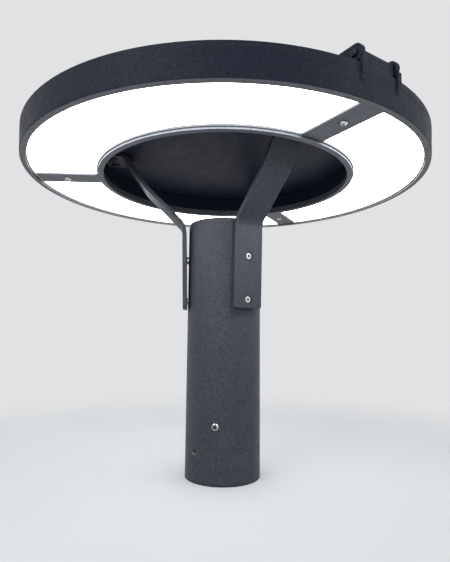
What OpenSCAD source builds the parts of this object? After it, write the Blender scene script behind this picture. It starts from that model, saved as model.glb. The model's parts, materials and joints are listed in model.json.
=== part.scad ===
// Post-top ring lamp: a ring-shaped head on three bent flat arms, bolted to a sleeve that slips
// over a pole top. Origin at the centre of the sleeve's open lower end, +Z up, millimetres.

/* [Sleeve] */
// Outside diameter of the sleeve
sleeve_d = 89; // [84:1:100]
// Wall of the sleeve
sleeve_wall = 4; // [3:0.5:5]
// Height of the sleeve with its cap
sleeve_h = 302; // [290:1:320]
// Thickness of the cap plate
cap_t = 3; // [2:0.5:4]
// Depth to which the pole goes in, up to the stop ring
socket_d = 190; // [160:5:190]
// Diameter of the set screws that grip the pole
set_screw_d = 8; // [6:1:10]
// Height of the upper row, which carries the set screws
set_row_z = 63.5; // [55:0.5:80]
// Height of the lower row of empty tapped holes
spare_row_z = 34; // [25:0.5:45]

/* [Arms] */
// Width of the flat bar
arm_w = 37; // [32:1:40]
// Thickness of the flat bar
arm_t = 5; // [4:0.5:6]
// Distance from the sleeve's top down to the flange's lower end
flange_drop = 106; // [95:0.5:115]
// Length of the flange along the sleeve
flange_len = 102; // [90:0.5:110]
// Gap between sleeve and flange at the flange's lower end
flange_gap = 1; // [0.5:0.5:2]
// Angle at which the flange leans away from the sleeve
flange_lean = 1.5; // [0:0.5:3]
// Slope of the lower leg above the horizontal
lower_leg_slope = 44.5; // [40:0.5:50]
// Distance from the axis to the bend between the two legs
knee_r = 98; // [85:1:105]
// Length of the foot under the centre pan
foot_len = 26; // [22:1:28]
// Gap between the foot's end and the recess's side
foot_gap = 3.5; // [3:0.5:8]
// Inside radius of the long bend above the flange and of the knee
bend_r = 15; // [6:0.5:20]
// Inside radius of the bend at the foot
foot_bend_r = 6; // [3:0.5:8]

/* [Head] */
// Height of the ring's underside above the sleeve's top
head_rise = 54.5; // [50:0.5:70]
// Outside diameter of the head
head_d = 484; // [470:1:500]
// Height of the head's side wall, lid edge included
side_h = 30.5; // [30:0.5:36]
// Thickness of the outer wall at its top
wall_t = 4; // [3:0.5:5]
// Draft by which the wall draws in from its top to the underside
wall_draft = 1; // [0:0.5:1.5]
// Width of the outer ring's lip, seen from below
outer_lip_w = 6.4; // [5:0.1:8]
// Diameter of the opening inside the inner rim
inner_opening_d = 302; // [294:1:308]
// Width of the inner rim, seen from below
inner_rim_w = 6.6; // [6:0.1:8]
// Thickness of each diffuser
diffuser_t = 3; // [2:0.5:3.5]
// Height of the LED tray above the ring's underside
tray_z = 14; // [13:0.5:15]
// Thickness of the tray and of the centre pan
sheet_t = 3; // [2:0.5:3]
// How far the recess's wall leans out from the opening to the ceiling
recess_lean = 4.5; // [3:0.5:6]
// Height of the recess's ceiling below the side wall's top
ceiling_drop = 0.5; // [0:0.5:3]
// Width of the strips over the diffuser joints
strip_w = 29; // [24:1:36]
// Thickness of the strips
strip_t = 2; // [1.5:0.5:2.5]

/* [Lid] */
// Thickness of the lid's shell
lid_t = 2.5; // [2:0.5:3]
// Slope of the lid's outer slant
lid_slant = 17.5; // [15:0.5:20]
// Width of the slant from the lid's edge to its shoulder
slant_w = 34.5; // [30:0.5:40]
// Rise of the crown above the shoulder
crown_h = 8; // [4:1:12]
// Distance from the head's rim in to the lid's straight hinge edge
hinge_edge_in = 14.5; // [13.5:0.5:16.5]
// Distance from the head's rim in to the hinge pin
hinge_in = 8; // [7.5:0.5:9]
// Height of the hinge pin above the side wall's top
hinge_up = 11.8; // [11.5:0.1:13]
// Radius of the lid's two ears round the pin
ear_r = 8; // [7:0.5:8]
// Thickness of each ear
ear_t = 4; // [3:0.5:6]
// Length of the ears' level top, in from the pin
ear_level = 18; // [12:1:22]
// Width of the knuckle between the ears
knuckle_w = 39; // [30:1:44]
// Radius of the knuckle
knuckle_r = 5; // [4.5:0.5:5.5]
// Diameter of the hinge pin
pin_d = 4; // [3:0.5:5]

/* [Hidden] */
$fn = 96;

// Directions, counter-clockwise from +X
first_arm_az = -56.4;
hinge_az = -57.2;
arm_count = 3;
arm_az = [for (i = [0:arm_count - 1]) first_arm_az - i * 360 / arm_count];
strip_az = [for (i = [0:arm_count - 1]) hinge_az - i * 360 / arm_count];
set_row_az = -101;
spare_row_az = -137.2;
row_count = 3;

// Colours
coat = "#3a3d42";
dark_coat = "#26282c";
steel = "#b9bcc0";
zinc = "#8f9499";
opal = "#f4f7ff";
rubber = "#5d4a33";
black = "#2b2c2e";
board = "#dfe3e6";
ivory = "#e8e6df";

// Sleeve and its fasteners
sleeve_r = sleeve_d / 2;
bore_r = sleeve_r - sleeve_wall;
tube_h = sleeve_h - cap_t;
cap_spigot_h = 4;
cap_fit = 0.2;
cap_edge = 1;
stop_t = 4;
stop_hole_r = 30;
set_fit = 0.1;
set_stand = 2.5;
set_recess = 0.5;
hex_flats = 4;
socket_depth = 3;

// M4 screws in rivet nuts hold the flanges
m4_r = 1.95;
m4_bore_r = 2.05;
m4_hole_r = 2.25;
m4_head_r = 3.8;
m4_head_h = 2.2;
m4_hex_flats = 2.5;
m4_socket_depth = 1.3;
m4_sunk_r = 3.7;
sink_r = 4.6;
sink_fit = 0.03;
sink_tip_r = 1;
screw_low = 10;
screw_pitch = 50.5;
flange_screw_at = [screw_low, screw_low + screw_pitch];
nut_r = 2.95;
nut_hole_r = 3;
nut_len = 11;
collar_r = 4.5;
collar_fit = 0.1;
spot_face = 0.5;
screw_reach = 8;

// Height of the ring's underside and of the flanges' lower ends
head_z = sleeve_h + head_rise;
flange_z = sleeve_h - flange_drop;

// Head levels, measured from the ring's underside
lip_h = 2.5;
gasket_h = 2.2;
diffuser_z = lip_h + gasket_h;
diffuser_top = diffuser_z + diffuser_t;
tray_top = tray_z + sheet_t;
lid_gap = 0.3;
lid_edge_h = 3;
lid_edge_z = side_h - lid_edge_h;
wall_top = lid_edge_z - lid_gap;
pan_depth = side_h - ceiling_drop;
pan_top = pan_depth + sheet_t;
board_t = 1.6;
rim_top = diffuser_top + 0.5;

// Head radii
head_r = head_d / 2;
wall_r = head_r - wall_t;
foot_r = head_r - wall_draft;
lip_r = foot_r - outer_lip_w;
seat_fit = 0.2;
gasket_show = 1.3;
gasket_r = lip_r - gasket_show;
inner_r = inner_opening_d / 2;
rim_r = inner_r + inner_rim_w;
inner_gasket_r = rim_r + gasket_show;
upstand_t = 4;
upstand_r = inner_r + upstand_t;
pan_r = inner_r + recess_lean;
pan_flange_w = 8;
pan_rim_r = pan_r + sheet_t + pan_flange_w;
tray_flange_t = 3.3;
tray_inner_r = pan_r + sheet_t;
board_edge = 2;
edge_r = 1.5;

// Strips and their posts
post_r = 4;
post_fit = 0.3;
strip_gap = 0.7;
strip_gap_in = 0.3;
joint_gap = 2 * (post_r + 1.2);
strip_screw_r = head_r - 43.5;

// Arm route: flange, lower leg, upper leg and foot, along the middle of the bar
foot_z = head_z + pan_depth - arm_t / 2;
flange_foot = [sleeve_r + flange_gap + arm_t / 2, flange_z];
flange_head = flange_foot + flange_len * [sin(flange_lean), cos(flange_lean)];
knee = [knee_r, flange_head[1] + (knee_r - flange_head[0]) * tan(lower_leg_slope)];
foot_toe = [pan_r - foot_gap, foot_z];
foot_heel = foot_toe - [foot_len, 0];
arm_route = [flange_foot, flange_head, knee, foot_heel, foot_toe];
arm_bends = [bend_r, bend_r, foot_bend_r];
bend_steps = 8;
round_steps = 4;
head_round = 0.8;
foot_bolt_r = foot_toe[0] - 11;
foot_bolt_y = arm_w / 2 - 9;
corner_r = 2.5;

// M6 bolts through the feet
m6_r = 2.9;
m6_hole_r = 3.2;
m6_head_r = 5.2;
m6_head_h = 3.2;
m6_hex_flats = 4;
m6_nut_flats = 10;
m6_nut_h = 5;

// Lid and hinge
shoulder_r = head_r - slant_w;
shoulder_z = side_h + slant_w * tan(lid_slant);
crown_steps = 10;
rib_count = 6;
rib_t = 2.5;
rib_deep = 3;
rib_from = 30;
rib_to = pan_r + 3;
hub_r = 34;
hinge_x = head_r - hinge_in;
hinge_z = side_h + hinge_up;
hinge_edge_x = head_r - hinge_edge_in;
land_gap = 0.5;
land_x = hinge_edge_x + land_gap;
land_t = 7;
ear_gap = 1;
ear_in = knuckle_w / 2 + ear_gap;
ear_mid = ear_in + ear_t / 2;
ear_end_x = shoulder_r - 18;
ear_lift = 1.6;
boss_out = 1.2;
boss_low = side_h - 14;
boss_flare = side_h - 4;
boss_top = side_h + 6;
cradle_gap = 0.7;
pin_r = pin_d / 2;
pin_press = 0.02;
pin_run = 0.05;
pin_head_r = pin_r + 1.4;
pin_head_t = 1.6;
pin_head_gap = 0.3;

// Closing screw opposite the hinge
latch_x = 10.5 - head_r;
latch_boss_r = 6.5;
latch_r = 2.4;
latch_lid_fit = 0.3;
latch_boss_fit = 0.9;
latch_tip_z = tray_top + 3;
latch_pad_r = 8;
latch_pad_z = side_h + 6;
latch_head_r = 4.75;
latch_head_h = 3;

// Lid gasket on the tray's rim
lid_gasket_w = 3;

// Gear in the channel under the lid
gear_rise = 2;
gear_h = side_h + gear_rise - tray_top;
driver_size = [36, 120, gear_h];
driver_az = 63.5;
driver_x = pan_rim_r + 8 + driver_size[0] / 2;
block_size = [22, 46, gear_h - 2];
block_az = 183.5;
block_x = pan_rim_r + 12.5 + block_size[0] / 2;

function unit_at(a) = [cos(a), sin(a)];
function heading(a, b) = atan2(b[1] - a[1], b[0] - a[0]);

// One side of a bent bar: side is 1 for the left of the route and -1 for the right
function bend_arc(before, at, after, thick, radius, side) =
    let (a_in = heading(before, at),
         turn = heading(at, after) - a_in,
         way = sign(turn),
         mid_r = radius + thick / 2,
         start = at - mid_r * tan(abs(turn) / 2) * unit_at(a_in),
         centre = start + way * mid_r * unit_at(a_in + 90),
         arc_r = mid_r - way * side * thick / 2)
    [for (k = [0:bend_steps]) centre + arc_r * unit_at(a_in - 90 * way + turn * k / bend_steps)];
function bar_side(route, thick, radii, side) =
    let (last = len(route) - 1,
         half = side * thick / 2)
    concat([route[0] + half * unit_at(heading(route[0], route[1]) + 90)],
           [for (i = [1:last - 1])
               for (p = bend_arc(route[i - 1], route[i], route[i + 1], thick, radii[i - 1], side)) p],
           [route[last] + half * unit_at(heading(route[last - 1], route[last]) + 90)]);
function reversed(list) = [for (i = [len(list) - 1:-1:0]) list[i]];
function bar_outline(route, thick, radii) =
    concat(bar_side(route, thick, radii, 1), reversed(bar_side(route, thick, radii, -1)));

// A crown as an arc-like parabola from the shoulder to the axis
function crown(radius, low, rise) =
    [for (k = [0:crown_steps]) let (r = radius * (1 - k / crown_steps))
        [r, low + rise * (1 - pow(r / radius, 2))]];

// Radius of the recess's wall at a height above the ring's underside
function recess_at(z) = inner_r + recess_lean * z / pan_depth;

// Places children round the axis at each listed direction
module at_each(directions) {
    for (a = directions) rotate(a) children();
}

// A standing profile: x is distance from the axis, y is height, width lies across
module standing(width) {
    rotate([90, 0, 0]) linear_extrude(width, center = true) children();
}

// A cylinder that lies across, along the hinge line
module across(radius, width) {
    rotate([90, 0, 0]) cylinder(r = radius, h = width, center = true);
}

// A cylinder that points away from the axis, from x0 to x1
module outward(radius, x0, x1) {
    translate([x0, 0, 0]) rotate([0, 90, 0]) cylinder(r = radius, h = x1 - x0);
}

// Six-sided recess or nut, measured across its flats
module hexagon(flats, height) {
    cylinder(r = flats / 2 / cos(30), h = height, $fn = 6);
}

// Domed screw head with a hex socket, seated on z = 0 and facing +Z
module button_head(radius, height, flats, depth) {
    difference() {
        rotate_extrude() polygon(concat([[0, 0], [radius, 0]],
            [for (k = [0:round_steps]) let (a = 90 * k / round_steps)
                [radius - head_round + head_round * cos(a), height - head_round + head_round * sin(a)]],
            [[0, height]]));
        translate([0, 0, height - depth]) hexagon(flats, depth + 1);
    }
}

// Frame of a flange's inner face: +X away from the sleeve, +Z up the flange
module on_flange(azimuth, height) {
    rotate(azimuth) translate([sleeve_r + flange_gap, 0, flange_z])
        rotate([0, flange_lean, 0]) translate([0, 0, height]) children();
}

// Gap between the sleeve and a flange at a height along the flange
function stand_off(height) = flange_gap + height * tan(flange_lean);

module sleeve() {
    color(coat) difference() {
        cylinder(r = sleeve_r, h = tube_h);
        translate([0, 0, -1]) cylinder(r = bore_r, h = socket_d + 1);
        translate([0, 0, socket_d - 1]) cylinder(r = stop_hole_r, h = stop_t + 2);
        translate([0, 0, socket_d + stop_t]) cylinder(r = bore_r, h = tube_h);
        at_each(arm_az) for (h = flange_screw_at) on_flange(0, h) {
            outward(nut_hole_r, -stand_off(h) - sleeve_wall - 2, 1);
            outward(collar_r + collar_fit, -stand_off(h) - spot_face, 1);
        }
        for (i = [0:row_count - 1]) {
            rotate(set_row_az + i * 360 / row_count) translate([0, 0, set_row_z])
                outward(set_screw_d / 2 + set_fit, bore_r - 2, sleeve_r + 1);
            rotate(spare_row_az + i * 360 / row_count) translate([0, 0, spare_row_z])
                outward(set_screw_d / 2 + set_fit, bore_r - 2, sleeve_r + 1);
        }
    }
}

module sleeve_cap() {
    spigot_r = bore_r - cap_fit;
    color(coat) rotate_extrude() polygon([
        [0, tube_h - cap_spigot_h], [spigot_r, tube_h - cap_spigot_h], [spigot_r, tube_h],
        [sleeve_r, tube_h], [sleeve_r, sleeve_h - cap_edge], [sleeve_r - cap_edge, sleeve_h],
        [0, sleeve_h]]);
}

module set_screws() {
    color(steel) for (i = [0:row_count - 1])
        rotate(set_row_az + i * 360 / row_count) translate([0, 0, set_row_z]) difference() {
            outward(set_screw_d / 2, bore_r + set_recess, sleeve_r + set_stand);
            translate([sleeve_r + set_stand - socket_depth, 0, 0]) rotate([0, 90, 0])
                hexagon(hex_flats, socket_depth + 1);
        }
}

module rivet_nuts() {
    color(zinc) at_each(arm_az) for (h = flange_screw_at) on_flange(0, h) {
        collar_in = -stand_off(h) - spot_face;
        difference() {
            union() {
                outward(collar_r, collar_in, 0);
                outward(nut_r, collar_in - nut_len, 0);
            }
            outward(m4_bore_r, collar_in - nut_len - 1, 1);
        }
    }
}

// Cone that opens outwards to a radius at x
module sink(radius, x) {
    translate([x - radius + sink_tip_r, 0, 0]) rotate([0, 90, 0])
        cylinder(r1 = sink_tip_r, r2 = radius, h = radius - sink_tip_r);
}

module flange_screws() {
    head_x = arm_t - (sink_r - m4_sunk_r) + sink_fit;
    color(steel) at_each(arm_az) for (h = flange_screw_at) on_flange(0, h) difference() {
        union() {
            outward(m4_r, -screw_reach, head_x - 1);
            sink(m4_sunk_r, head_x);
        }
        translate([head_x - m4_socket_depth, 0, 0]) rotate([0, 90, 0]) hexagon(m4_hex_flats, arm_t);
    }
}

module arm(azimuth) {
    color(coat) difference() {
        rotate(azimuth) standing(arm_w) polygon(bar_outline(arm_route, arm_t, arm_bends));
        for (h = flange_screw_at) on_flange(azimuth, h) {
            outward(m4_hole_r, -1, arm_t + 1);
            sink(sink_r + 1, arm_t + 1);
        }
        rotate(azimuth) foot_holes(m6_hole_r, foot_z - arm_t, 2 * arm_t);
        for (side = [-1, 1]) {
            on_flange(azimuth, 0) rotate([0, 90, 0]) corner_cut(side);
            rotate(azimuth) translate([foot_toe[0], 0, foot_z]) corner_cut(side);
        }
    }
}

// What rounding in flats takes off one corner of a bar that ends at x = 0
module corner_cut(side) {
    edge = arm_w / 2;
    turn = 90 / round_steps;
    reach = corner_r / cos(turn / 2);
    flats = [for (k = [0:round_steps - 1]) reach * unit_at((k + 0.5) * turn) + [-corner_r, edge - corner_r]];
    first = flats[0] + unit_at(turn - 90);
    last = flats[round_steps - 1] + unit_at(180 - turn);
    outline = concat([first], [for (k = [1:round_steps - 2]) flats[k]],
        [last, [last[0], edge + 1], [1, edge + 1], [1, first[1]]]);
    linear_extrude(4 * arm_t, center = true) polygon([for (p = outline) [p[0], side * p[1]]]);
}

// Holes of one foot, as cylinders from z up
module foot_holes(radius, z, height) {
    for (side = [-1, 1]) translate([foot_bolt_r, side * foot_bolt_y, z])
        cylinder(r = radius, h = height);
}

module foot_bolts() {
    under_foot = head_z + pan_depth - arm_t;
    color(black) at_each(arm_az) {
        foot_holes(m6_r, under_foot, arm_t + sheet_t + m6_nut_h + 1);
        for (side = [-1, 1]) translate([foot_bolt_r, side * foot_bolt_y, under_foot])
            mirror([0, 0, 1]) button_head(m6_head_r, m6_head_h, m6_hex_flats, m6_head_h - 1);
    }
}

module foot_nuts() {
    color(steel) at_each(arm_az) for (side = [-1, 1])
        translate([foot_bolt_r, side * foot_bolt_y, head_z + pan_top]) difference() {
            hexagon(m6_nut_flats, m6_nut_h);
            translate([0, 0, -1]) cylinder(r = m6_r + 0.1, h = m6_nut_h + 2);
        }
}

// Flat disc with the hinge side cut off straight at x
module cut_disc(radius, x, height) {
    difference() {
        cylinder(r = radius, h = height);
        translate([x, -radius, -1]) cube([radius, 2 * radius, height + 2]);
    }
}

module outer_ring() {
    color(dark_coat) translate([0, 0, head_z]) difference() {
        union() {
            rotate_extrude($fn = 180) polygon(concat(
                [[lip_r, 0], [foot_r - edge_r, 0]],
                [for (k = [1:round_steps]) let (a = 90 * k / round_steps)
                    [foot_r - edge_r + edge_r * sin(a), edge_r - edge_r * cos(a)]],
                [[head_r, wall_top], [wall_r, wall_top], [wall_r, lip_h], [lip_r, lip_h]]));
            rotate(hinge_az) {
                hinge_land();
                hinge_knuckle();
                for (side = [-1, 1]) translate([0, side * ear_mid, 0]) wedge_boss();
                latch_boss();
            }
        }
        rotate(hinge_az) {
            translate([hinge_x, 0, hinge_z]) across(pin_r + pin_press, knuckle_w + 2);
            translate([latch_x, 0, latch_tip_z - 2]) cylinder(r = latch_r + latch_boss_fit, h = side_h);
        }
    }
}

// Solid strip of the casting beside the lid's straight edge
module hinge_land() {
    intersection() {
        translate([0, 0, side_h - land_t]) cylinder(r = head_r, h = land_t, $fn = 180);
        translate([land_x, -head_r, 0]) cube([head_r, head_d, 2 * side_h]);
    }
}

module hinge_knuckle() {
    standing(knuckle_w) union() {
        translate([hinge_x, hinge_z]) circle(r = knuckle_r);
        polygon([[land_x + 1, side_h - 1], [hinge_x - knuckle_r, side_h + 5],
                 [hinge_x - knuckle_r, hinge_z], [hinge_x + knuckle_r, hinge_z],
                 [hinge_x + knuckle_r, side_h - 1]]);
    }
}

// Wedge on the wall that tapers down to a point and cradles an ear
module wedge_boss() {
    outer_x = head_r + boss_out;
    standing(ear_t) difference() {
        polygon([[wall_r + 1, boss_low], [head_r - 0.5, boss_low], [outer_x, boss_flare],
                 [outer_x, boss_top], [wall_r + 1, boss_top]]);
        translate([hinge_x, hinge_z]) circle(r = ear_r + cradle_gap);
    }
}

// Boss inside the wall that takes the closing screw
module latch_boss() {
    translate([latch_x, 0, tray_top]) cylinder(r = latch_boss_r, h = wall_top - tray_top);
    translate([-wall_r - 1, -latch_boss_r, tray_top])
        cube([wall_r + 1 + latch_x, 2 * latch_boss_r, wall_top - tray_top]);
}

// Annular plate that carries the LED board, with a skirt that presses on the diffusers
module led_tray() {
    skirt_r = wall_r - seat_fit;
    color(zinc) translate([0, 0, head_z]) rotate_extrude($fn = 180) polygon([
        [tray_inner_r, tray_z], [skirt_r - tray_flange_t, tray_z],
        [skirt_r - tray_flange_t, diffuser_top], [skirt_r, diffuser_top],
        [skirt_r, tray_top], [tray_inner_r, tray_top]]);
}

module centre_pan() {
    color(dark_coat) difference() {
        translate([0, 0, head_z]) rotate_extrude($fn = 180) polygon([
            [0, pan_depth], [pan_r, pan_depth], [recess_at(rim_top), rim_top],
            [upstand_r, rim_top], [recess_at(tray_top) + sheet_t, tray_top],
            [pan_rim_r, tray_top], [pan_rim_r, tray_top + sheet_t],
            [recess_at(tray_top + sheet_t) + sheet_t, tray_top + sheet_t],
            [pan_r + sheet_t, pan_top], [0, pan_top]]);
        at_each(arm_az) foot_holes(m6_hole_r, head_z + pan_depth - 1, sheet_t + 2);
    }
}

module inner_rim() {
    color(coat) translate([0, 0, head_z]) rotate_extrude($fn = 180) polygon([
        [inner_r, 0], [rim_r, 0], [rim_r, lip_h], [upstand_r, lip_h],
        [upstand_r, rim_top], [recess_at(rim_top), rim_top]]);
}

module led_board() {
    color(board) translate([0, 0, head_z + tray_z - board_t]) difference() {
        cylinder(r = wall_r - seat_fit - tray_flange_t - board_edge, h = board_t, $fn = 180);
        translate([0, 0, -1]) cylinder(r = rim_r + board_edge, h = board_t + 2, $fn = 180);
        at_each(strip_az) translate([strip_screw_r, 0, -1])
            cylinder(r = post_r + post_fit, h = board_t + 2);
    }
}

// One third of the diffuser ring, between two neighbouring strips
module diffuser(azimuth) {
    outer_r = wall_r - 2 * seat_fit;
    color(opal) translate([0, 0, head_z + diffuser_z]) rotate(azimuth - 180 / arm_count) intersection() {
        difference() {
            cylinder(r = outer_r, h = diffuser_t, $fn = 180);
            translate([0, 0, -1]) cylinder(r = upstand_r + 2 * seat_fit, h = diffuser_t + 2, $fn = 180);
        }
        linear_extrude(diffuser_t) sector(180 / arm_count, 2 * outer_r, joint_gap / 2);
    }
}

// Sector about +X with its two sides moved in by inset
module sector(half_angle, reach, inset) {
    tip = inset / sin(half_angle);
    polygon([[tip, 0], [tip, 0] + reach * unit_at(-half_angle), [tip, 0] + reach * unit_at(half_angle)]);
}

module outer_gasket() {
    color(rubber) translate([0, 0, head_z + lip_h]) difference() {
        cylinder(r = wall_r - seat_fit, h = gasket_h, $fn = 180);
        translate([0, 0, -1]) cylinder(r = gasket_r, h = gasket_h + 2, $fn = 180);
    }
}

module inner_gasket() {
    color(rubber) translate([0, 0, head_z + lip_h]) difference() {
        cylinder(r = inner_gasket_r, h = gasket_h, $fn = 180);
        translate([0, 0, -1]) cylinder(r = upstand_r + seat_fit, h = gasket_h + 2, $fn = 180);
    }
}

// Flat strip over a joint between diffusers, rounded to the two rims
module strip(azimuth) {
    color(coat) rotate(azimuth) translate([0, 0, head_z + diffuser_z - strip_t]) difference() {
        intersection() {
            cylinder(r = gasket_r - strip_gap, h = strip_t, $fn = 180);
            translate([0, -strip_w / 2, 0]) cube([head_r, strip_w, strip_t]);
        }
        translate([0, 0, -1]) cylinder(r = inner_gasket_r + strip_gap_in, h = strip_t + 2, $fn = 180);
        translate([strip_screw_r, 0, -1]) cylinder(r = m4_hole_r, h = strip_t + 2);
    }
}

module strip_posts() {
    color(zinc) at_each(strip_az) translate([strip_screw_r, 0, head_z + diffuser_z]) difference() {
        cylinder(r = post_r, h = tray_z - diffuser_z);
        translate([0, 0, -1]) cylinder(r = m4_bore_r, h = tray_z);
    }
}

module strip_screws() {
    color(steel) at_each(strip_az) translate([strip_screw_r, 0, head_z + diffuser_z - strip_t]) {
        cylinder(r = m4_r, h = screw_reach);
        mirror([0, 0, 1]) button_head(m4_head_r, m4_head_h, m4_hex_flats, m4_socket_depth);
    }
}

// Box that stands on the tray, centred across a direction
module gear_box(azimuth, reach, size) {
    rotate(azimuth) translate([reach, 0, head_z + tray_top + size[2] / 2]) cube(size, center = true);
}

module driver() {
    color(zinc) gear_box(driver_az, driver_x, driver_size);
}

module terminal_block() {
    color(ivory) gear_box(block_az, block_x, block_size);
}

// Sealing cord inside the wall, just under the lid
module lid_gasket() {
    outer = wall_r - seat_fit;
    color(rubber) translate([0, 0, head_z + tray_top]) rotate(hinge_az) difference() {
        cut_disc(outer, land_x - seat_fit, wall_top - tray_top);
        translate([0, 0, -1])
            cut_disc(outer - lid_gasket_w, land_x - seat_fit - lid_gasket_w, wall_top);
        translate([latch_x, 0, -1]) cylinder(r = latch_boss_r + seat_fit, h = wall_top);
        translate([-head_r, -latch_boss_r - seat_fit, -1])
            cube([head_r + latch_x, 2 * (latch_boss_r + seat_fit), wall_top]);
    }
}

module hinge_pin() {
    head_y = ear_in + ear_t + pin_head_gap;
    color(black) translate([0, 0, head_z]) rotate(hinge_az) translate([hinge_x, 0, hinge_z]) {
        across(pin_r, 2 * head_y + 0.1);
        for (side = [-1, 1]) translate([0, side * (head_y + pin_head_t / 2), 0])
            across(pin_head_r, pin_head_t);
    }
}

// Shell of the lid: upright edge, slant and low crown
module lid_shell() {
    slant_in = shoulder_r - lid_t * tan(lid_slant / 2);
    rotate_extrude($fn = 180) polygon(concat(
        [[head_r, lid_edge_z], [head_r, side_h]],
        crown(shoulder_r, shoulder_z, crown_h),
        reversed(crown(slant_in, shoulder_z - lid_t, crown_h)),
        [[wall_r, side_h - 1], [wall_r, lid_edge_z]]));
}

// Ribs under the crown, from the hub to above the pan's rim
module lid_ribs() {
    top = shoulder_z - lid_t / 2;
    intersection() {
        rotate_extrude($fn = 180) polygon(concat(crown(shoulder_r, top, crown_h),
            reversed(crown(shoulder_r, shoulder_z - lid_t - rib_deep, crown_h))));
        union() {
            cylinder(r = hub_r, h = 2 * shoulder_z);
            for (k = [0:rib_count - 1]) rotate((k + 0.5) * 360 / rib_count)
                translate([rib_from, -rib_t / 2, 0]) cube([rib_to - rib_from, rib_t, 2 * shoulder_z]);
        }
        difference() {
            cylinder(r = shoulder_r, h = 2 * shoulder_z);
            translate([0, 0, -1]) cylinder(r = hub_r - rib_t, h = 2 * shoulder_z + 2);
        }
    }
}

// Ear round the pin, with a level top and a tail that runs in and dies into the crown
module lid_ear() {
    top_z = hinge_z + ear_r;
    under = lid_t / 2;
    standing(ear_t) union() {
        translate([hinge_x, hinge_z]) circle(r = ear_r);
        polygon([[hinge_x, top_z], [hinge_x - ear_level, top_z],
                 [ear_end_x, shoulder_z + under], [ear_end_x, shoulder_z],
                 [shoulder_r, shoulder_z - under],
                 [hinge_edge_x, side_h + (head_r - hinge_edge_x) * tan(lid_slant) - under],
                 [hinge_edge_x + 2, side_h + ear_lift], [hinge_x, side_h + ear_lift]]);
    }
}

module lid() {
    color(dark_coat) translate([0, 0, head_z]) rotate(hinge_az) difference() {
        union() {
            difference() {
                union() {
                    lid_shell();
                    lid_ribs();
                }
                translate([hinge_edge_x, -head_r, 0]) cube([head_r, head_d, 2 * side_h]);
            }
            for (side = [-1, 1]) translate([0, side * ear_mid, 0]) lid_ear();
            translate([latch_x, 0, side_h]) cylinder(r = latch_pad_r, h = latch_pad_z - side_h);
        }
        translate([hinge_x, 0, hinge_z]) across(pin_r + pin_run, head_r);
        translate([latch_x, 0, lid_edge_z]) cylinder(r = latch_r + latch_lid_fit, h = side_h);
    }
}

module lid_screw() {
    color(steel) translate([0, 0, head_z]) rotate(hinge_az) translate([latch_x, 0, 0]) {
        translate([0, 0, latch_tip_z]) cylinder(r = latch_r, h = latch_pad_z - latch_tip_z);
        translate([0, 0, latch_pad_z]) button_head(latch_head_r, latch_head_h, hex_flats, latch_head_h - 1);
    }
}

sleeve();
sleeve_cap();
set_screws();
rivet_nuts();
flange_screws();
arm(arm_az[0]);  // arm_1
arm(arm_az[1]);  // arm_2
arm(arm_az[2]);  // arm_3
foot_bolts();
foot_nuts();
outer_ring();
led_tray();
centre_pan();
inner_rim();
led_board();
diffuser(strip_az[0]);  // diffuser_1
diffuser(strip_az[1]);  // diffuser_2
diffuser(strip_az[2]);  // diffuser_3
outer_gasket();
inner_gasket();
strip(strip_az[0]);  // strip_1
strip(strip_az[1]);  // strip_2
strip(strip_az[2]);  // strip_3
strip_posts();
strip_screws();
driver();
terminal_block();
lid_gasket();
hinge_pin();
lid();
lid_screw();
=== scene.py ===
import json
import math

import bpy
from mathutils import Matrix, Vector


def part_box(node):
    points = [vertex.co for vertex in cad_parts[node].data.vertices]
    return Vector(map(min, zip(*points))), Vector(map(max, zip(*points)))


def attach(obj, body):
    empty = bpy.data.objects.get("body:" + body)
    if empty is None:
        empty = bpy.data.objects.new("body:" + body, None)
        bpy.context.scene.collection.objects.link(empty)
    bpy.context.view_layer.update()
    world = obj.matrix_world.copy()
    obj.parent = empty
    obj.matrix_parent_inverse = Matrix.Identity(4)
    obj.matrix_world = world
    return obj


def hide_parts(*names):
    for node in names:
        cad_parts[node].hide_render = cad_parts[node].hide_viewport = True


bl_info = {
    "name": "Post-top ring lamp",
    "version": (1, 0, 0),
    "blender": (4, 5, 0),
    "location": "3D View > Sidebar > Ring lamp",
    "description": "Finishes, screws and gear of a post-top ring lamp, and a plain studio round it",
    "category": "Object",
}

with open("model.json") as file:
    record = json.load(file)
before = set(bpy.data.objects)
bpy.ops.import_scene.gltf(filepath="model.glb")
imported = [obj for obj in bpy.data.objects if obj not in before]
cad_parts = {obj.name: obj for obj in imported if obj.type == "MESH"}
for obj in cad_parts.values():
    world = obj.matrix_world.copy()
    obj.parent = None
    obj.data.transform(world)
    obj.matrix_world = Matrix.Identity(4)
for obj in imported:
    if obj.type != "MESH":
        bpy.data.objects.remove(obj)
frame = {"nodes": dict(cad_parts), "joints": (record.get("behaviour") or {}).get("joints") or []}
NODES = frame["nodes"]
MM = 0.001
UP, DOWN = Vector((0, 0, 1)), Vector((0, 0, -1))
SIDES = (-1, 1)
SMOOTH = 40  # degrees between faces, up to which a rounded piece is shaded smooth


# --- the panel's values ------------------------------------------------------------------------

def colour(name, default, description):
    return bpy.props.FloatVectorProperty(
        name=name, description=description, default=default, subtype="COLOR", size=3, min=0, max=1)


def number(name, default, description, **kind):
    return bpy.props.FloatProperty(name=name, description=description, default=default, **kind)


def length(name, default, description):
    return number(name, default, description, unit="LENGTH", min=0, precision=5)


def share(name, default, description):
    return number(name, default, description, subtype="FACTOR", min=0, max=1)


def power(name, default, description):
    return number(name, default, description, unit="POWER", min=0)


def angle(name, degrees, description):
    return number(name, math.radians(degrees), description, unit="ROTATION", subtype="ANGLE")


def count(name, default, description, low, high):
    return bpy.props.IntProperty(
        name=name, description=description, default=default, min=low, max=high)


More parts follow.
